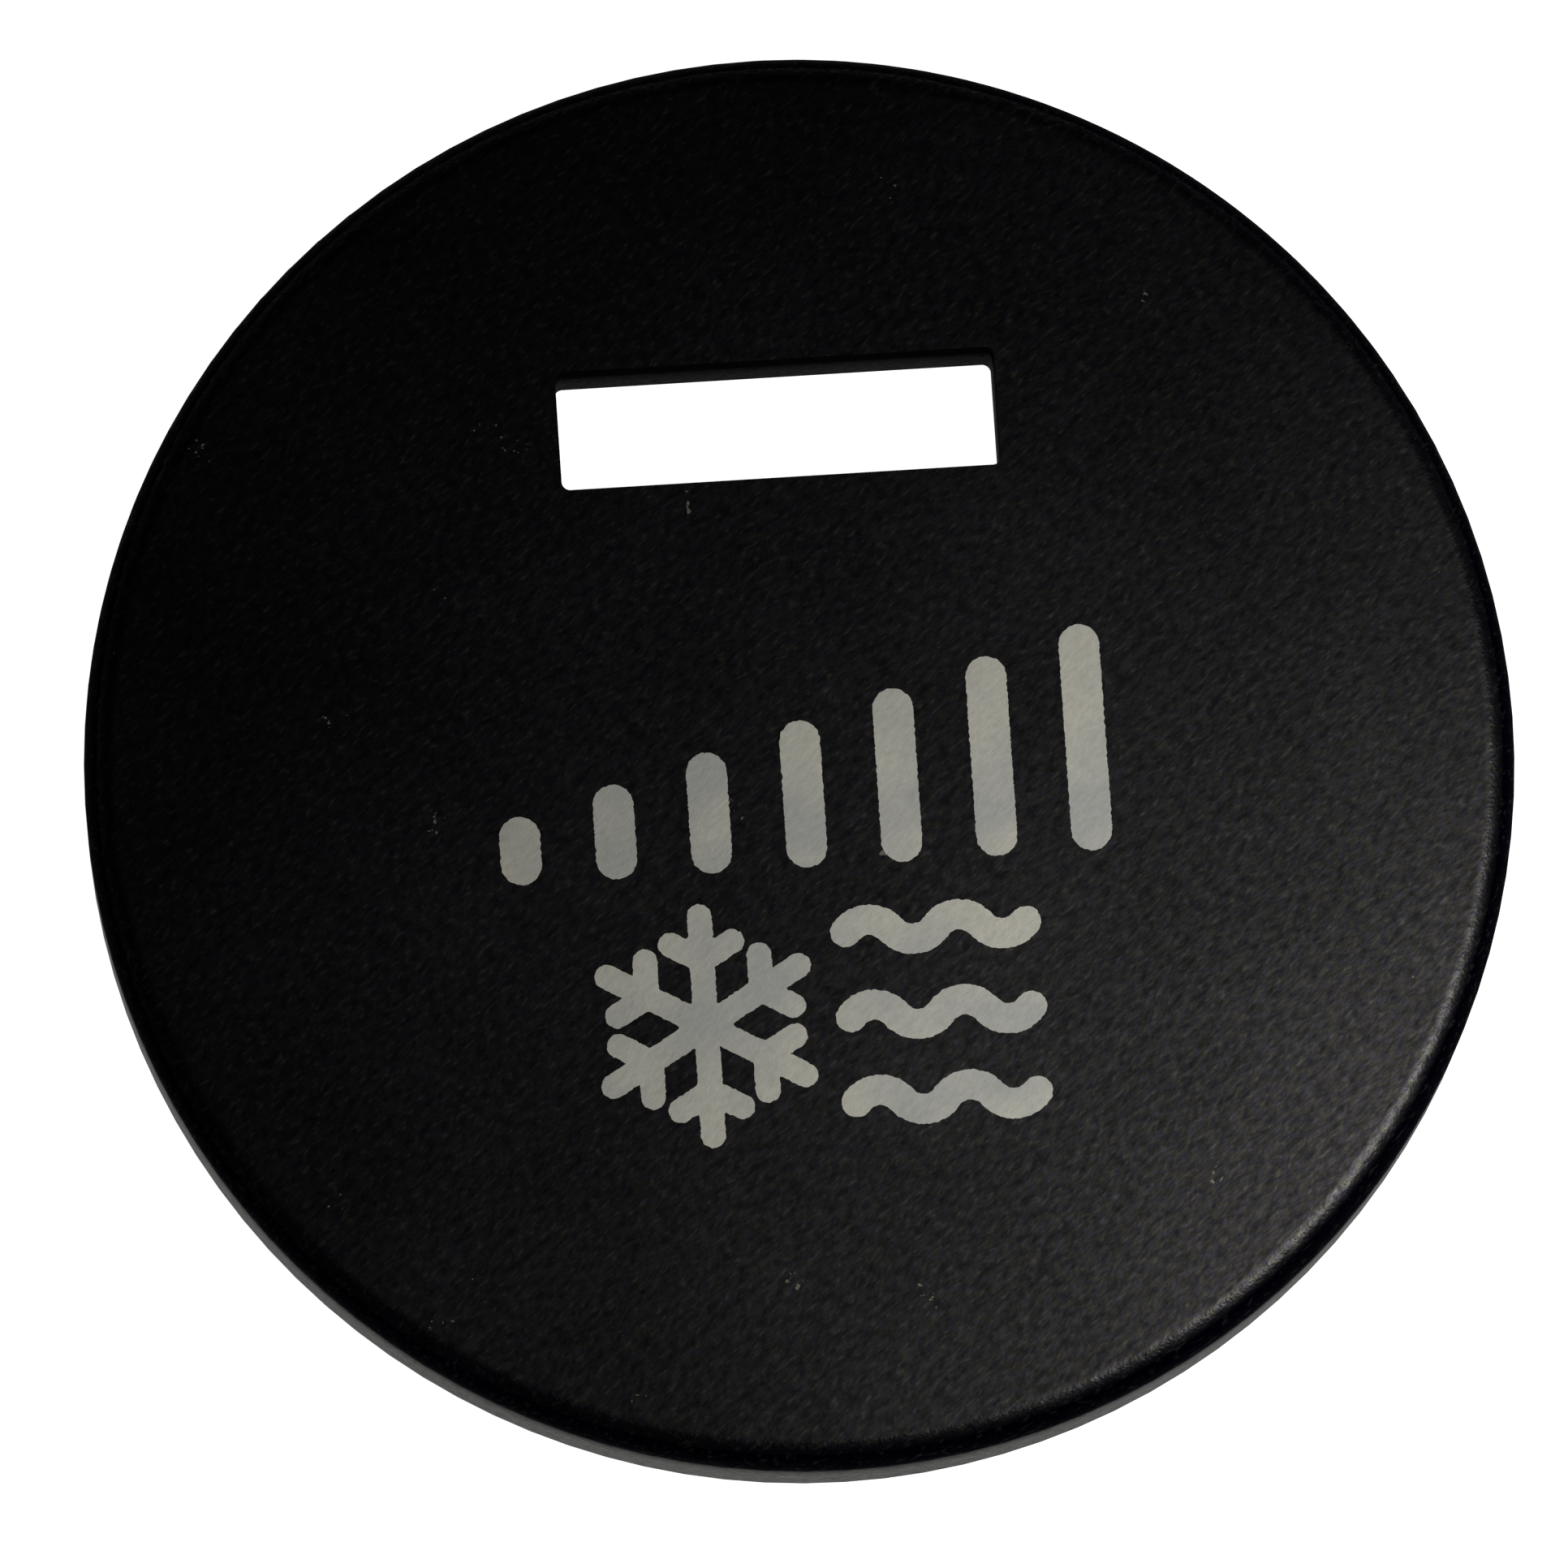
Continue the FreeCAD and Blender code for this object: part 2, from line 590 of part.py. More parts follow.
def lamp_lenses(places):
    """The clear filling of each lamp's cup."""
    return Part.makeCompound([lamp_cup(x, y, LAMP_CUP_RADIUS - FIT_GAP, LAMP_CUP_DEPTH - LENS_DIP)
                              for x, y, turns in places])


def lamp_leads(places):
    """The two tinned leads at each lamp's ends."""
    leads = []
    reach = (LAMP_LONG + LEAD_THICK) / 2
    for x, y, turns in places:
        for side in SIDES:
            lead = block(LEAD_THICK, LEAD_LONG, LEAD_TALL, side * reach, 0, BOARD_TOP)
            lead = turned(lead, 90.0 * turns)
            lead.translate(V(x, y, 0))
            leads.append(lead)
    return Part.makeCompound(leads)


def chip(place, scale):
    """A chip part soldered under the board: its body, then its two tinned ends."""
    x, y = place
    tall = CHIP_TALL * scale
    long = CHIP_LONG * scale
    end = CHIP_END * scale
    wide = CHIP_WIDE * scale
    body = block(long - 2 * end, wide, tall, x, y, BOARD_Z - tall)
    ends = [block(end, wide, tall, x + side * (long - end) / 2, y, BOARD_Z - tall) for side in SIDES]
    return body, ends


def chip_resistors():
    """Three resistors that set the lamps' current."""
    return Part.makeCompound([chip(place, 1.0)[0] for place in RESISTOR_PLACES])


def chip_capacitor():
    """The capacitor across the switch contacts."""
    return chip(CAPACITOR_PLACE, CAPACITOR_SCALE)[0]


def chip_end_caps():
    """The tinned ends of the resistors and the capacitor."""
    ends = chip(CAPACITOR_PLACE, CAPACITOR_SCALE)[1]
    for place in RESISTOR_PLACES:
        ends += chip(place, 1.0)[1]
    return Part.makeCompound(ends)


def pin_places():
    """The x of each connector pin."""
    return [(i - (PINS - 1) / 2) * PIN_PITCH for i in range(PINS)]


def pin_shafts():
    """The connector's square pins before their tips are pointed."""
    return [block(PIN_SIDE, PIN_SIDE, PIN_TOP - PIN_Z, x, PLUG_Y, PIN_Z) for x in pin_places()]


def connector_header():
    """The plastic strip that holds the pins under the board."""
    header = block(HEADER_LENGTH, HEADER_WIDTH, HEADER_TALL, 0, PLUG_Y, BOARD_Z - HEADER_TALL)
    return cut_all(header, pin_shafts())


def connector_pins():
    """Five square pins, pointed at the free end."""
    return Part.makeCompound([pin.makeChamfer(PIN_TIP, lower_edges(pin, PIN_Z)) for pin in pin_shafts()])


def solder_joints():
    """The solder cone round each pin on the upper side of the board."""
    top_radius = (SOLDER_RADIUS + PIN_SIDE) / 3
    cones = [Part.makeCone(SOLDER_RADIUS, top_radius, SOLDER_TALL, V(x, PLUG_Y, BOARD_TOP))
             for x in pin_places()]
    return Part.makeCompound([cut_all(cone, pin_shafts()) for cone in cones])


def rear_cover():
    """The back plate: the ring that holds the board up, the connector socket, the screw holes."""
    plate = disc(BARREL_RADIUS, 0, COVER_THICK)
    plate = plate.makeChamfer(COVER_CHAMFER, lower_edges(plate, 0))
    tall = BOARD_Z - COVER_THICK
    spigot = ring(SPIGOT_RADIUS, SPIGOT_RADIUS - SPIGOT_WALL, COVER_THICK, tall)
    shroud = block(SOCKET_LENGTH + 2 * SOCKET_WALL, SOCKET_WIDTH + 2 * SOCKET_WALL, tall - FIT_GAP,
                   0, PLUG_Y, COVER_THICK)
    through = BOARD_Z + 2 * PAST
    boss_room = BOSS_RADIUS + BOSS_GAP
    openings = around(SCREW_ANGLES, boss_room, COVER_THICK, through)
    openings += around(MOUNT_ANGLES, boss_room, -PAST, through)
    openings += around(SCREW_ANGLES, SCREW_HOLE_RADIUS, -PAST, through)
    openings += around(SCREW_ANGLES, SCREW_RECESS_RADIUS, -PAST, SCREW_RECESS + PAST)
    openings.append(block(SOCKET_LENGTH, SOCKET_WIDTH, through, 0, PLUG_Y, -PAST))
    openings.append(block(SOCKET_KEY, 2 * SOCKET_KEY_DEPTH, through, 0, PLUG_Y - SOCKET_WIDTH / 2, -PAST))
    return cut_all(plate.multiFuse([spigot, shroud]), openings).removeSplitter()


def cover_screws():
    """The two pan-head screws with a cross recess that hold the rear cover."""
    head_z = SCREW_RECESS - SCREW_HEAD_TALL
    tip_z = SCREW_RECESS + SCREW_LENGTH - SCREW_POINT
    screws = []
    for angle in SCREW_ANGLES:
        head = disc(SCREW_HEAD_RADIUS, head_z, SCREW_HEAD_TALL)
        head = head.makeFillet(SCREW_HEAD_EDGE, lower_edges(head, head_z))
        head = cut_all(head, [block(DRIVE_LENGTH, DRIVE_WIDTH, DRIVE_DEPTH, 0, 0, head_z),
                              block(DRIVE_WIDTH, DRIVE_LENGTH, DRIVE_DEPTH, 0, 0, head_z)])
        shank = disc(SCREW_RADIUS, SCREW_RECESS, tip_z - SCREW_RECESS)
        point = Part.makeCone(SCREW_RADIUS, SCREW_RADIUS / 2, SCREW_POINT, V(0, 0, tip_z))
        screw = head.multiFuse([shank, point]).removeSplitter()
        screw.translate(V(BOSS_CIRCLE, 0, 0))
        screws.append(turned(screw, angle))
    return Part.makeCompound(screws)


def main():
    """Writes one STEP file for each piece, or group of like pieces."""
    parts = {
        "button_cap": button_cap(),
        "legend_diffuser": legend_diffuser(),
        "indicator_light_guide": indicator_light_guide(),
        "cap_carrier": cap_carrier(),
        "carbon_pills": carbon_pills(),
        "barrel": barrel(),
        "reflector_box": reflector_box(),
        "silicone_domes": silicone_domes(),
        "dome_mat": dome_mat(),
        "circuit_board": circuit_board(),
        "contact_pads": contact_pads(),
        "legend_lamp_bodies": lamp_bodies(legend_lamps()),
        "legend_lamp_lenses": lamp_lenses(legend_lamps()),
        "indicator_lamp_body": lamp_bodies(indicator_lamps()),
        "indicator_lamp_lens": lamp_lenses(indicator_lamps()),
        "lamp_leads": lamp_leads(legend_lamps() + indicator_lamps()),
        "chip_resistors": chip_resistors(),
        "chip_capacitor": chip_capacitor(),
        "chip_end_caps": chip_end_caps(),
        "connector_header": connector_header(),
        "connector_pins": connector_pins(),
        "solder_joints": solder_joints(),
        "rear_cover": rear_cover(),
        "cover_screws": cover_screws(),
    }
    os.makedirs("parts", exist_ok=True)
    for name, shape in parts.items():
        shape.exportStep(os.path.join("parts", name + ".step"))
        print(name, len(shape.Solids), shape.isValid(), round(shape.Volume, 3))


main()
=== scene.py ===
import json
import math

import bmesh
import bpy
import numpy as np
from mathutils import Matrix, Vector, noise
from mathutils.geometry import tessellate_polygon


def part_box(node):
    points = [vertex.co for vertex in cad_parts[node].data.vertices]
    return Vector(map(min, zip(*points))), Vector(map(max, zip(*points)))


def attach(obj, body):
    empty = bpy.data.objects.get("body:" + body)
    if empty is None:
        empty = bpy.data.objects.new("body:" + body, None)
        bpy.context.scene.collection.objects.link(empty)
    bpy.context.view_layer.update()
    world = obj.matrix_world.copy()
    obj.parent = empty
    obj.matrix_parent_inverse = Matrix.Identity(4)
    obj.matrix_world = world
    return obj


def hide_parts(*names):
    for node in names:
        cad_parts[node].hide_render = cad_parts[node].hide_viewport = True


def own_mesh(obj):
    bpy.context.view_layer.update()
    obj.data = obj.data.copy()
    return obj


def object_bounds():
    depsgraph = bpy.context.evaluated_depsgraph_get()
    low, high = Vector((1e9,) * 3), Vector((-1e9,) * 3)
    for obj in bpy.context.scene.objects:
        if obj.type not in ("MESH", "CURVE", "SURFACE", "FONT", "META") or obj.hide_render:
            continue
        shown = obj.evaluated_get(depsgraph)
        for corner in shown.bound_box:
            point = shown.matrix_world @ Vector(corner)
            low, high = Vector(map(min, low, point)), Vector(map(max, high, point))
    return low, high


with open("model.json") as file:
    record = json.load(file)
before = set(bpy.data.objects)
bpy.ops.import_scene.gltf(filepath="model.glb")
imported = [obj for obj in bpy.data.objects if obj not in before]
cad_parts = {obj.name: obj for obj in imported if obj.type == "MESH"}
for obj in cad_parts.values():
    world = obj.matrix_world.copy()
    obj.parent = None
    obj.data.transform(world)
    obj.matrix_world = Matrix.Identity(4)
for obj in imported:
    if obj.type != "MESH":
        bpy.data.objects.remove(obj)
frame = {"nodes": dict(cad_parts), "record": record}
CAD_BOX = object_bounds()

# The illuminated push button, seen from just off its axis on a pale light table.
# Metres, in the CAD model's frame: +Z out of the face, +Y from the legend towards the slot.

MM = 0.001
NODES = frame["nodes"]
RECORD = frame["record"]
SLOT_OF = {part["node"]: part["material_slot"] for part in RECORD["subparts"]}
LOW, HIGH = (Vector(corner) for corner in CAD_BOX)
FACE_Z = HIGH.z
CAP_RADIUS = HIGH.x
EDGE_ROUND = 0.55 * MM

# Camera: how far it leans from the button's axis, which way, and how it is turned.
CAMERA_DISTANCE = 300 * MM
CAMERA_TILT = math.radians(9.56)
CAMERA_AZIMUTH = math.radians(-101.7)
CAMERA_ROLL = math.radians(3.77)
CAMERA_SHIFT_X = -0.29 * MM
CAMERA_SHIFT_Y = -0.49 * MM
FRAME_WIDTH = 27.34 * MM
SENSOR_WIDTH = 36.0

# Light.
FLOOR_GLOW = 1.05
FLOOR_GLOW_FAR = 0.78
FLOOR_DROP = 0.01 * MM
FLOOR_SIZE = 3.0
GLOW_FULL = 21 * MM
GLOW_END = 90 * MM
KEY_PLACE = (24.5 * MM, -11.5 * MM, 37 * MM)
KEY_TARGET = (7 * MM, -6 * MM, 0.0)
KEY_SIZE = 14 * MM
KEY_SPREAD = 80.0
KEY_RADIANCE = 4.2
KEY_COLOUR = (1.0, 0.985, 0.95)
GUIDE_GLOW = 1.0

# Degrees that the grain of the skin and of the legend is turned from the X axis.
GRAIN_SLANT = -38.0
LEGEND_SLANT = -40.0

# Legend print: the grid it is traced on, how its outline grows and frays, its top and its underside.
PRINT_STEP = 0.035 * MM
PRINT_GROW = 0.026 * MM
PRINT_ROUGH = 0.02 * MM
PRINT_GRAIN = 13.0
PRINT_PROUD = 0.003 * MM
PRINT_DEEP = 0.03 * MM
SHORTEST_OUTLINE = 8

# Rubber domes: outline points around each.
DOME_SIDES = 48

# How far apart two points may be and still count as one, and as level.
SAME = 0.001 * MM
LEVEL = 0.002 * MM


def make_camera():
    """A long lens that looks at the middle of the face."""
    away = Vector((math.sin(CAMERA_TILT) * math.cos(CAMERA_AZIMUTH),
                   math.sin(CAMERA_TILT) * math.sin(CAMERA_AZIMUTH), math.cos(CAMERA_TILT)))
    lean = Vector((math.sin(CAMERA_ROLL), math.cos(CAMERA_ROLL), 0))
    right = lean.cross(away).normalized()
    up = away.cross(right)
    data = bpy.data.cameras.new("camera")
    data.sensor_width = SENSOR_WIDTH
    data.lens = SENSOR_WIDTH * CAMERA_DISTANCE / FRAME_WIDTH
    data.clip_start = 5 * MM
    data.clip_end = 10.0
    camera = bpy.data.objects.new("camera", data)
    place = Vector((0, 0, FACE_Z)) + away * CAMERA_DISTANCE
    place += right * CAMERA_SHIFT_X + up * CAMERA_SHIFT_Y
    camera.matrix_world = Matrix.Translation(place) @ Matrix((right, up, away)).transposed().to_4x4()
    bpy.context.scene.collection.objects.link(camera)
    bpy.context.scene.camera = camera


def area_light(name, place, target, size, spread, radiance, colour):
    """A round softbox. Place and target are measured from the middle of the face."""
    data = bpy.data.lights.new(name, "AREA")
    data.shape = "DISK"
    data.size = size
    data.spread = math.radians(spread)
    data.energy = radiance * math.pi ** 2 * size * size / 4
    data.color = colour
    light = bpy.data.objects.new(name, data)
    middle = Vector((0, 0, FACE_Z))
    light.location = middle + Vector(place)
    light.rotation_euler = (Vector(place) - Vector(target)).to_track_quat("Z", "Y").to_euler()
    light.visible_camera = False
    bpy.context.scene.collection.objects.link(light)


def make_lights():
    """A close key softbox on the right, and a pale backdrop that only the camera sees."""
    area_light("key", KEY_PLACE, KEY_TARGET, KEY_SIZE, KEY_SPREAD, KEY_RADIANCE, KEY_COLOUR)
    world = bpy.data.worlds.new("studio")
    world.use_nodes = True
    background = world.node_tree.nodes["Background"]
    background.inputs["Color"].default_value = (1, 1, 1, 1)
    background.inputs["Strength"].default_value = 1.0
    for rays in ("diffuse", "glossy", "transmission", "scatter"):
        setattr(world.cycles_visibility, rays, False)
    bpy.context.scene.world = world
    view = bpy.context.scene.view_settings
    view.view_transform = "Standard"
    view.look = "None"


class Shader:
    """A material under construction: its nodes, its coordinates in millimetres, its main shader."""

    def __init__(self, name):
        self.material = bpy.data.materials.new(name)
        self.material.use_nodes = True
        self.tree = self.material.node_tree
        self.main = self.tree.nodes["Principled BSDF"]
        place = self.tree.nodes.new("ShaderNodeTexCoord")
        self.mm = self.math_vector("MULTIPLY", place.outputs["Object"], (1 / MM, 1 / MM, 1 / MM))

    def link(self, socket, value):
        """Sets a socket to a number, a tuple or another node's output."""
        if isinstance(value, bpy.types.NodeSocket):
            self.tree.links.new(value, socket)
        elif isinstance(value, tuple) and len(value) == 3 and socket.type == "RGBA":
            socket.default_value = (*value, 1.0)
        else:
            socket.default_value = value

    def math(self, operation, a, b=0.0):
        """The result of a math node on two numbers."""
        node = self.tree.nodes.new("ShaderNodeMath")
        node.operation = operation
        self.link(node.inputs[0], a)
        self.link(node.inputs[1], b)
        return node.outputs[0]

    def add(self, a, b):
        return self.math("ADD", a, b)

    def times(self, a, b):
        return self.math("MULTIPLY", a, b)

    def math_vector(self, operation, a, b):
        """The result of a vector math node on two vectors."""
        node = self.tree.nodes.new("ShaderNodeVectorMath")
        node.operation = operation
        self.link(node.inputs[0], a)
        self.link(node.inputs[1], b)
        return node.outputs[0]

    def turned(self, angle, stretch):
        """The millimetre coordinates turned about Z by angle, then stretched along each axis."""
        node = self.tree.nodes.new("ShaderNodeMapping")
        node.vector_type = "POINT"
        self.link(node.inputs["Vector"], self.mm)
        node.inputs["Rotation"].default_value = (0, 0, math.radians(angle))
        return self.math_vector("DIVIDE", node.outputs[0], stretch)

    def split(self, vector):
        """The three parts of a vector."""
        node = self.tree.nodes.new("ShaderNodeSeparateXYZ")
        self.link(node.inputs[0], vector)
        return node.outputs

    def facing_up(self):
        """1 on a face that looks along +Z, 0 on an upright wall."""
        place = self.tree.nodes.new("ShaderNodeTexCoord")
        return self.split(place.outputs["Normal"])[2]

    def height(self):
        """Millimetres above the table."""
        return self.split(self.mm)[2]

    def from_axis(self):
        """Millimetres from the button's axis."""
        x, y, _ = self.split(self.mm)
        return self.math("SQRT", self.add(self.math("POWER", x, 2.0), self.math("POWER", y, 2.0)))

    def noise(self, scale, detail=2.0, rough=0.5, at=None):
        """Noise with features of about 1 / scale millimetres, from 0 to 1."""
        node = self.tree.nodes.new("ShaderNodeTexNoise")
        self.link(node.inputs["Vector"], at or self.mm)
        node.inputs["Scale"].default_value = scale
        node.inputs["Detail"].default_value = detail
        node.inputs["Roughness"].default_value = rough
        return node.outputs[0]

    def scattered(self, scale):
        """How far each point of the XY plane is from the nearest of some scattered points."""
        node = self.tree.nodes.new("ShaderNodeTexVoronoi")
        node.voronoi_dimensions = "2D"
        self.link(node.inputs["Vector"], self.mm)
        node.inputs["Scale"].default_value = scale
        return node.outputs["Distance"]

    def bands(self, scale, direction):
        """Even dark and light bands across an axis, from 0 to 1."""
        node = self.tree.nodes.new("ShaderNodeTexWave")
        node.bands_direction = direction
        self.link(node.inputs["Vector"], self.mm)
        node.inputs["Scale"].default_value = scale
        return node.outputs[1]

    def spread(self, value, low, high, to_low=0.0, to_high=1.0):
        """Value stretched from low..high to another range, and clamped to it."""
        node = self.tree.nodes.new("ShaderNodeMapRange")
        self.link(node.inputs["Value"], value)
        limits = {"From Min": low, "From Max": high, "To Min": to_low, "To Max": to_high}
        for name, number in limits.items():
            node.inputs[name].default_value = number
        return node.outputs[0]

    def mix(self, share, a, b):
        """Colour a, turning into colour b as share goes from 0 to 1."""
        node = self.tree.nodes.new("ShaderNodeMix")
        node.data_type = "RGBA"
        self.link(node.inputs["Factor"], share)
        self.link(node.inputs[6], a)
        self.link(node.inputs[7], b)
        return node.outputs[2]

    def bump(self, height, depth, under=None):
        """A normal from height, where 1 stands depth millimetres above 0."""
        node = self.tree.nodes.new("ShaderNodeBump")
        node.inputs["Strength"].default_value = 1.0
        node.inputs["Distance"].default_value = depth * MM
        self.link(node.inputs["Height"], height)
        if under is not None:
            self.link(node.inputs["Normal"], under)
        return node.outputs[0]

    def set(self, **values):
        """Sets the main shader's sockets, and returns the finished material."""
        for name, value in values.items():
            self.link(self.main.inputs[name.replace("_", " ")], value)
        return self.material


def moulded(name, colour, other, rough, grain, depth):
    """Moulded plastic or rubber: two close tones in soft patches, a fine grain, uneven gloss."""
    s = Shader(name)
    patches = s.noise(0.35, 3.0)
    fine = s.noise(grain, 3.0, 0.6)
    tone = s.mix(s.spread(patches, 0.35, 0.65), colour, other)
    gloss = s.spread(s.noise(1.3, 4.0), 0.3, 0.7, *rough)
    normal = s.bump(fine, depth)
    return s.set(Base_Color=tone, Roughness=gloss, Normal=normal, IOR=1.5)


def metal(name, colour, other, rough, streak=(6.0, 0.5, 6.0)):
    """Plated metal with faint streaks, dull patches and small scratches."""
    s = Shader(name)
    lines = s.noise(4.0, 4.0, 0.7, s.turned(35.0, streak))
    dull = s.noise(1.6, 4.0)
    tone = s.mix(s.spread(dull, 0.35, 0.7), colour, other)
    gloss = s.spread(s.add(lines, dull), 0.7, 1.3, *rough)
    return s.set(Base_Color=tone, Metallic=1.0, Roughness=gloss, Normal=s.bump(lines, 0.002))


def cap_black():
    """Satin black skin: a soft slanting mottle, lighter specks painted into the colour as glints of the
    grain, and dust, with a nicked edge and a streaked rim.

    flat is 1 on the face and 0 on upright walls, so it tells the face, the edge and the walls apart.
    """
    s = Shader("cap_black")
    flat = s.facing_up()
    wall = s.spread(flat, 0.0, 0.12, 1.0, 0.0)
    edge = s.times(s.spread(flat, 0.9995, 0.975), s.spread(flat, 0.5, 0.8))
    outside = s.spread(s.from_axis(), 0.9 * CAP_RADIUS / MM, 0.97 * CAP_RADIUS / MM)
    low_on_rim = s.spread(s.height(), (FACE_Z - EDGE_ROUND) / MM, (FACE_Z - 2.4 * EDGE_ROUND) / MM,
                          0.02, 1.0)

    slant = s.turned(GRAIN_SLANT, (1.5, 1.0, 1.0))
    grain = s.noise(9.0, 1.5, 0.5, slant)
    mottle = s.noise(6.0, 2.0, 0.6, slant)
    # Lighter specks slanted like the grain: painted glints in the colour, and a little more real sheen
    # where they lie.
    flecks_and_painted_glints = s.spread(s.noise(13.0, 1.0, 0.5, s.turned(GRAIN_SLANT, (2.6, 1.0, 1.0))), 0.58, 0.76)
    clouds = s.noise(0.22, 4.0, 0.6)
    nicks = s.times(s.noise(17.0, 1.0), edge)
    streaks = s.spread(s.noise(9.0, 3.0, 0.75, s.turned(0.0, (1.2, 1.2, 0.4))), 0.42, 0.62)
    normal = s.bump(s.add(grain, s.times(nicks, 2.0)), 0.004, s.bump(s.noise(0.5, 2.0), 0.01))

    speck = s.math("LESS_THAN", s.add(s.scattered(0.42), s.noise(8.0)), 0.41)
    chosen = s.math("GREATER_THAN", s.noise(0.35, 0.0), 0.6)
    dust = s.times(s.times(speck, chosen), s.math("GREATER_THAN", flat, 0.95))
    tone = s.mix(s.spread(clouds, 0.3, 0.7), (0.0002, 0.0003, 0.002), (0.0005, 0.0005, 0.0032))
    # Painted glints: the specks lighten the colour of the skin.
    tone = s.mix(s.times(flecks_and_painted_glints, 0.6), tone, (0.022, 0.021, 0.02))
    tone = s.mix(dust, tone, (0.2, 0.19, 0.16))
    tone = s.mix(wall, tone, (0.0012, 0.0012, 0.001))

    rough = s.add(s.spread(clouds, 0.3, 0.7, 0.35, 0.4), s.spread(flat, 0.3, 0.985, 0.3, 0.0))
    tint = s.mix(s.spread(s.noise(7.0, 2.0, 0.6), 0.4, 0.6), (0.9, 0.86, 1.0), (1.0, 0.99, 0.84))
    tint = s.mix(wall, tint, (0.95, 1.0, 0.85))
    rubbed = s.times(wall, s.times(s.spread(streaks, 0.0, 1.0, 0.1, 0.6), low_on_rim))
    satin = s.times(s.spread(flat, 0.8, 0.97, 0.003, 0.58), s.spread(edge, 0.0, 1.0, 1.0, 0.72))
    satin = s.times(satin, s.spread(mottle, 0.3, 0.7, 0.6, 1.45))
    satin = s.add(satin, s.times(s.times(flecks_and_painted_glints, satin), 0.5))
    shine = s.times(s.math("MAXIMUM", satin, rubbed),
                    s.math("MAXIMUM", outside, s.spread(flat, 0.2, 0.85, 0.02, 1.0)))
    return s.set(Base_Color=tone, Roughness=rough, Normal=normal, IOR=1.5,
                 Specular_IOR_Level=shine, Specular_Tint=tint)


def diffuser_milky():
    """Milky plastic: warm patches and cooler ones, finely mottled and streaked."""
    s = Shader("diffuser_milky")
    patches = s.noise(0.6, 2.0)
    mottle = s.noise(9.0, 3.0, 0.7, s.turned(LEGEND_SLANT, (1.8, 1.0, 1.0)))
    tone = s.mix(s.spread(patches, 0.38, 0.62), (0.66, 0.67, 0.65), (0.84, 0.83, 0.73))
    tone = s.mix(s.spread(mottle, 0.35, 0.7, 0.0, 0.35), tone, (0.42, 0.42, 0.38))
    return s.set(Base_Color=tone, Roughness=s.spread(mottle, 0.3, 0.7, 0.5, 0.7),
                 Normal=s.bump(mottle, 0.012), IOR=1.45)


def lit_guide():
    """The milky light guide, with its lamp on."""
    s = Shader("guide_milky")
    haze = s.noise(3.0, 3.0)
    tone = s.mix(haze, (0.9, 0.9, 0.9), (0.8, 0.8, 0.8))
    glow = s.spread(haze, 0.2, 0.8, GUIDE_GLOW, GUIDE_GLOW * 1.06)
    return s.set(Base_Color=tone, Roughness=s.spread(haze, 0.3, 0.7, 0.4, 0.5),
                 Normal=s.bump(haze, 0.003), Emission_Color=(1.0, 1.0, 1.0), Emission_Strength=glow)


def board_green():
    """Solder mask over glass cloth: the weave shows as a faint relief."""
    s = Shader("board_green")
    cloth = s.times(s.bands(1.2, "X"), s.bands(1.2, "Y"))
    tone = s.mix(cloth, (0.008, 0.11, 0.045), (0.015, 0.16, 0.07))
    return s.set(Base_Color=tone, Roughness=s.spread(s.noise(2.0), 0.3, 0.7, 0.22, 0.34),
                 Normal=s.bump(cloth, 0.01), Coat_Weight=0.4)


def silicone():
    """Cloudy silicone rubber."""
    s = Shader("silicone_clear")
    cloud = s.noise(1.2, 3.0)
    tone = s.mix(cloud, (0.62, 0.64, 0.62), (0.78, 0.79, 0.76))
    return s.set(Base_Color=tone, Roughness=s.spread(cloud, 0.3, 0.7, 0.38, 0.55), IOR=1.41,
                 Normal=s.bump(s.noise(12.0), 0.003), Subsurface_Weight=0.3, Subsurface_Scale=0.4 * MM)


def lamp_resin():
    """Lamp resin with yellow phosphor grains."""
    s = Shader("lamp_lens")
    grains = s.noise(14.0, 2.0)
    tone = s.mix(grains, (0.85, 0.66, 0.12), (0.95, 0.85, 0.35))
    return s.set(Base_Color=tone, Roughness=s.spread(grains, 0.3, 0.7, 0.12, 0.25),
                 Normal=s.bump(grains, 0.002), Coat_Weight=1.0)


def floor_white():
    """A plain white light table with a very faint mottle, see-through from below."""
    s = Shader("floor_white")
    haze = s.noise(0.02, 3.0)
    tone = s.mix(haze, (0.9, 0.9, 0.9), (0.93, 0.93, 0.93))
    glow = s.spread(s.from_axis(), GLOW_FULL / MM, GLOW_END / MM, FLOOR_GLOW, FLOOR_GLOW_FAR)
    s.set(Base_Color=tone, Roughness=s.spread(haze, 0.3, 0.7, 0.75, 0.9),
          Emission_Color=(1.0, 1.0, 1.0), Emission_Strength=glow)
    side = s.tree.nodes.new("ShaderNodeNewGeometry")
    clear = s.tree.nodes.new("ShaderNodeBsdfTransparent")
    either = s.tree.nodes.new("ShaderNodeMixShader")
    s.link(either.inputs[0], side.outputs["Backfacing"])
    s.link(either.inputs[1], s.main.outputs[0])
    s.link(either.inputs[2], clear.outputs[0])
    s.link(s.tree.nodes["Material Output"].inputs["Surface"], either.outputs[0])
    return s.material


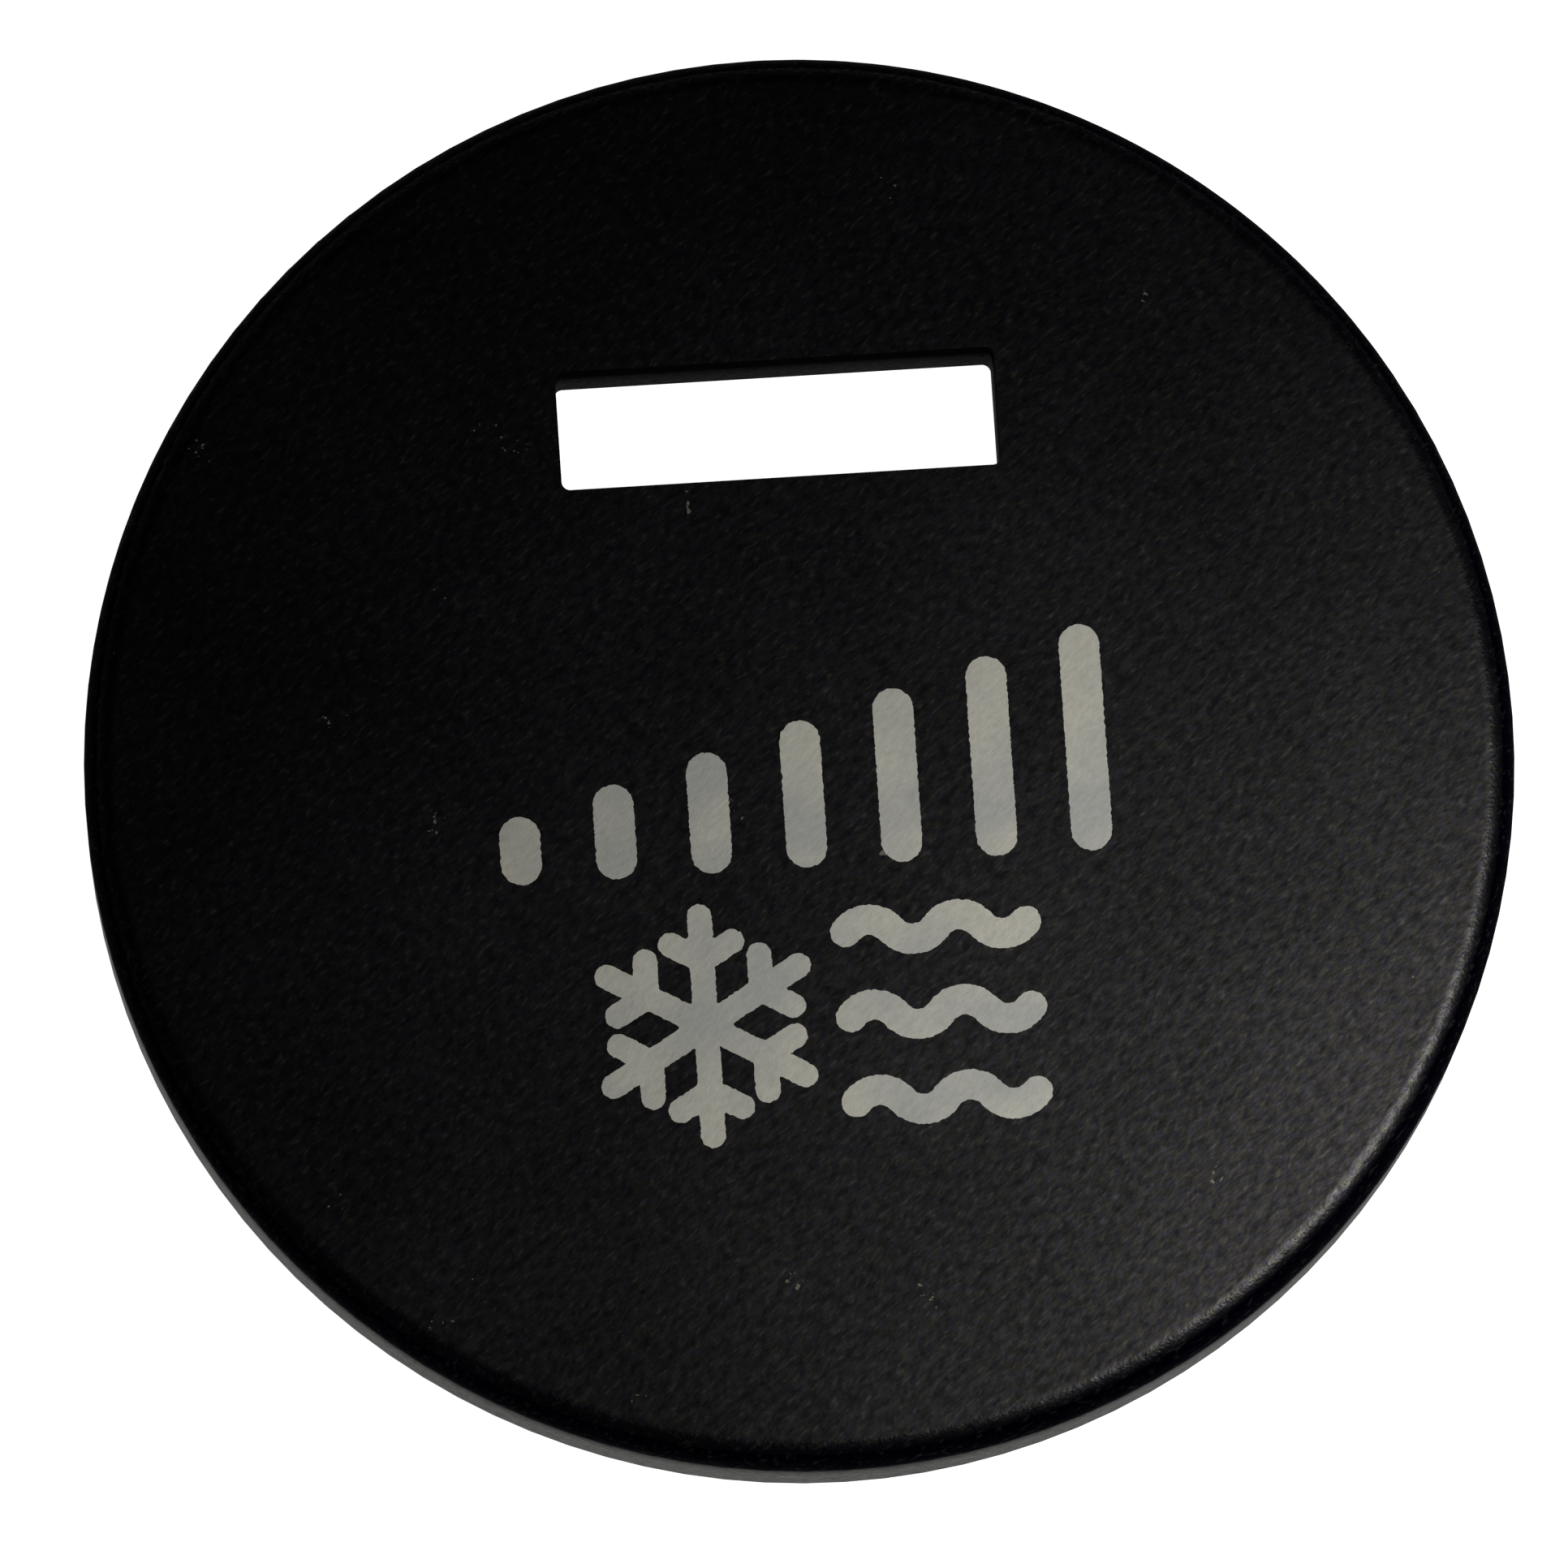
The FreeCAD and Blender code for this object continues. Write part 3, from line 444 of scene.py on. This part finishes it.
def make_materials():
    """One material for each of the record's slots."""
    return {
        "cap_black": cap_black(),
        "diffuser_milky": diffuser_milky(),
        "guide_milky": lit_guide(),
        "carrier_ivory": moulded("carrier_ivory", (0.62, 0.59, 0.5), (0.68, 0.65, 0.57),
                                 (0.38, 0.52), 6.0, 0.003),
        "carbon_rubber": moulded("carbon_rubber", (0.012, 0.012, 0.012), (0.02, 0.02, 0.02),
                                 (0.7, 0.85), 9.0, 0.004),
        "barrel_black": moulded("barrel_black", (0.011, 0.011, 0.012), (0.014, 0.014, 0.015),
                                (0.5, 0.56), 12.0, 0.008),
        "reflector_white": moulded("reflector_white", (0.86, 0.86, 0.85), (0.9, 0.9, 0.9),
                                   (0.2, 0.3), 8.0, 0.002),
        "silicone_clear": silicone(),
        "board_green": board_green(),
        "pad_gold": metal("pad_gold", (0.83, 0.6, 0.25), (0.75, 0.5, 0.2), (0.18, 0.3)),
        "lamp_white": moulded("lamp_white", (0.8, 0.8, 0.78), (0.85, 0.85, 0.84),
                              (0.3, 0.4), 12.0, 0.002),
        "lamp_lens": lamp_resin(),
        "tin": metal("tin", (0.62, 0.62, 0.63), (0.5, 0.5, 0.52), (0.25, 0.45)),
        "chip_black": moulded("chip_black", (0.01, 0.01, 0.012), (0.015, 0.015, 0.016),
                              (0.2, 0.35), 14.0, 0.002),
        "chip_tan": moulded("chip_tan", (0.28, 0.18, 0.09), (0.34, 0.23, 0.12),
                            (0.4, 0.55), 14.0, 0.003),
        "header_natural": moulded("header_natural", (0.7, 0.64, 0.5), (0.75, 0.7, 0.58),
                                  (0.35, 0.5), 7.0, 0.003),
        "pin_tin": metal("pin_tin", (0.72, 0.66, 0.52), (0.62, 0.56, 0.45), (0.2, 0.35), (0.5, 0.5, 6.0)),
        "cover_black": moulded("cover_black", (0.012, 0.012, 0.013), (0.016, 0.016, 0.017),
                               (0.5, 0.57), 12.0, 0.008),
        "screw_zinc": metal("screw_zinc", (0.58, 0.6, 0.64), (0.45, 0.46, 0.47), (0.2, 0.42)),
    }


def dress_nodes(materials):
    """Gives every CAD node its slot's material."""
    for node, obj in NODES.items():
        obj.data.materials.clear()
        obj.data.materials.append(materials[SLOT_OF[node]])


def top_edges(obj):
    """The border segments of a mesh's topmost flat faces, each as start x, y and end x, y."""
    mesh = bmesh.new()
    mesh.from_mesh(obj.data)
    bmesh.ops.remove_doubles(mesh, verts=mesh.verts, dist=SAME)
    top = max(v.co.z for v in mesh.verts)
    lid = {f for f in mesh.faces if all(abs(v.co.z - top) < LEVEL for v in f.verts)}
    loops = [loop for f in mesh.faces if f in lid for loop in f.loops
             if sum(g in lid for g in loop.edge.link_faces) == 1]
    edges = np.array([[*loop.vert.co.xy, *loop.link_loop_next.vert.co.xy] for loop in loops])
    mesh.free()
    return edges


def signed_distance(x, y, edges):
    """How far each point lies outside the outline (negative inside it)."""
    shape = x.shape
    x, y = x.ravel(), y.ravel()
    nearest = np.full(x.shape, 1e9)
    crossings = np.zeros(x.shape, int)
    for ax, ay, bx, by in edges:
        run, rise = bx - ax, by - ay
        along = np.clip(((x - ax) * run + (y - ay) * rise) / (run ** 2 + rise ** 2), 0, 1)
        nearest = np.minimum(nearest, np.hypot(x - ax - along * run, y - ay - along * rise))
        if ay != by:
            spans = (ay > y) != (by > y)
            crossings += spans & (x < ax + (y - ay) * run / rise)
    return np.where(crossings % 2, -nearest, nearest).reshape(shape)


def closed_outlines(field, xs, ys):
    """The zero outlines of a field on a grid, as closed lists of (x, y)."""
    inside = field < 0
    crossing = {}

    def cut(i, j, k, l):
        """The key and place where the outline crosses the grid line from (i, j) to (k, l)."""
        share = field[i, j] / (field[i, j] - field[k, l])
        key = (min(i, k), min(j, l), i == k)
        crossing[key] = (xs[j] + share * (xs[l] - xs[j]), ys[i] + share * (ys[k] - ys[i]))
        return key

    following = {}
    mixed = inside[:-1, :-1].astype(int) + inside[1:, :-1] + inside[:-1, 1:] + inside[1:, 1:]
    for i, j in zip(*np.nonzero((mixed > 0) & (mixed < 4))):
        ring = ((i, j), (i, j + 1), (i + 1, j + 1), (i + 1, j))
        ins, outs = [], []
        for n in range(4):
            a, b = ring[n], ring[(n + 1) % 4]
            if inside[a] and not inside[b]:
                outs.append(cut(*a, *b))
            elif inside[b] and not inside[a]:
                ins.append(cut(*a, *b))
        if len(outs) == 2 and following.get(outs[0]) is not None:
            ins.reverse()
        for start, end in zip(outs, ins):
            following[start] = end
    outlines = []
    while following:
        here = next(iter(following))
        outline = []
        while here in following:
            outline.append(crossing[here])
            here = following.pop(here)
        outlines.append(outline)
    return outlines


def legend_print(material):
    """The legend's marks as thin slabs with ragged etched edges, level with the face."""
    edges = top_edges(NODES["legend_diffuser"])
    margin = 6 * PRINT_STEP
    xs = np.arange(edges[:, 0::2].min() - margin, edges[:, 0::2].max() + margin, PRINT_STEP)
    ys = np.arange(edges[:, 1::2].min() - margin, edges[:, 1::2].max() + margin, PRINT_STEP)
    x, y = np.meshgrid(xs, ys)
    field = signed_distance(x, y, edges) - PRINT_GROW
    near = np.abs(field) < 3 * PRINT_STEP
    rough = [noise.fractal(Vector((a, b, 0)) / MM * PRINT_GRAIN, 0.7, 2.0, 2)
             for a, b in zip(x[near], y[near])]
    field[near] += PRINT_ROUGH * np.array(rough)
    mesh = bmesh.new()
    for outline in closed_outlines(field, xs, ys):
        if len(outline) < SHORTEST_OUTLINE:
            continue
        levels = [[mesh.verts.new((a, b, FACE_Z + z)) for a, b in outline]
                  for z in (PRINT_PROUD, -PRINT_DEEP)]
        for corners in tessellate_polygon([[Vector((a, b, 0)) for a, b in outline]]):
            for flat in levels:
                mesh.faces.new([flat[n] for n in corners])
        for n in range(len(outline)):
            m = (n + 1) % len(outline)
            mesh.faces.new((levels[0][n], levels[0][m], levels[1][m], levels[1][n]))
    bmesh.ops.recalc_face_normals(mesh, faces=mesh.faces)
    data = bpy.data.meshes.new("legend_print")
    mesh.to_mesh(data)
    mesh.free()
    obj = bpy.data.objects.new("legend_print", data)
    bpy.context.scene.collection.objects.link(obj)
    data.materials.append(material)
    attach(obj, "button")


def smooth_cap(material):
    """The cap with the true surface directions of its rounded edge, so that its highlight runs even."""
    data = NODES["button_cap"].data.copy()
    data.name = "cap_smooth"
    middle = CAP_RADIUS - EDGE_ROUND
    normals = []
    for corner, direction in zip(data.loops, data.corner_normals):
        point = data.vertices[corner.vertex_index].co
        out = point.xy.length - middle
        rise = point.z - (FACE_Z - EDGE_ROUND)
        on_edge = out > -SAME and rise > -SAME
        exact = Vector((*(point.xy.normalized() * out), rise)).normalized()
        normals.append(exact if on_edge else direction.vector)
    data.normals_split_custom_set(normals)
    obj = bpy.data.objects.new("cap_smooth", data)
    bpy.context.scene.collection.objects.link(obj)
    data.materials.clear()
    data.materials.append(material)
    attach(obj, "button")
    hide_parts("button_cap")


def rubber_domes(material):
    """The two silicone domes, with softened corners."""
    low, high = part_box("silicone_domes")
    base = (high.y - low.y) / 2
    tall = high.z - low.z
    top = 0.71 * base
    wall = 0.21 * base
    roof = 0.625 * tall
    outside = [(0.0, tall), (0.4 * top, tall), (0.9 * top, tall), (0.96 * top, 0.98 * tall),
               (top, 0.93 * tall), (top, roof), (top + 0.02 * base, 0.58 * tall),
               (base - 0.02 * base, 0.08 * tall), (base, 0.0)]
    inside = [(base - wall, 0.0), (top - wall, 0.94 * roof), (0.9 * (top - wall), roof), (0.0, roof)]
    mesh = bmesh.new()
    for side in (-1, 1):
        rings = []
        for radius, rise in outside + inside:
            turns = DOME_SIDES if radius else 1
            angles = [2 * math.pi * n / turns for n in range(turns)]
            rings.append([mesh.verts.new((side * (high.x - base) + radius * math.cos(angle),
                                          radius * math.sin(angle), low.z + rise)) for angle in angles])
        for above, below in zip(rings, rings[1:]):
            for n in range(DOME_SIDES):
                m = (n + 1) % DOME_SIDES
                corners = [above[n % len(above)], above[m % len(above)],
                           below[m % len(below)], below[n % len(below)]]
                mesh.faces.new(list(dict.fromkeys(corners)))
    bmesh.ops.recalc_face_normals(mesh, faces=mesh.faces)
    data = bpy.data.meshes.new("rubber_domes")
    mesh.to_mesh(data)
    mesh.free()
    data.materials.append(material)
    data.shade_smooth()
    obj = bpy.data.objects.new("rubber_domes", data)
    bpy.context.scene.collection.objects.link(obj)
    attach(obj, "housing")
    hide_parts("silicone_domes")
    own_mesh(obj)


def make_floor():
    """The table that the button stands on."""
    half = FLOOR_SIZE / 2
    level = LOW.z - FLOOR_DROP
    data = bpy.data.meshes.new("floor")
    corners = [(-half, -half, level), (half, -half, level), (half, half, level), (-half, half, level)]
    data.from_pydata(corners, [], [(0, 1, 2, 3)])
    floor = bpy.data.objects.new("floor", data)
    bpy.context.scene.collection.objects.link(floor)
    data.materials.append(floor_white())


make_camera()
make_lights()
make_floor()
materials = make_materials()
dress_nodes(materials)
legend_print(materials["diffuser_milky"])
smooth_cap(materials["cap_black"])
rubber_domes(materials["silicone_clear"])
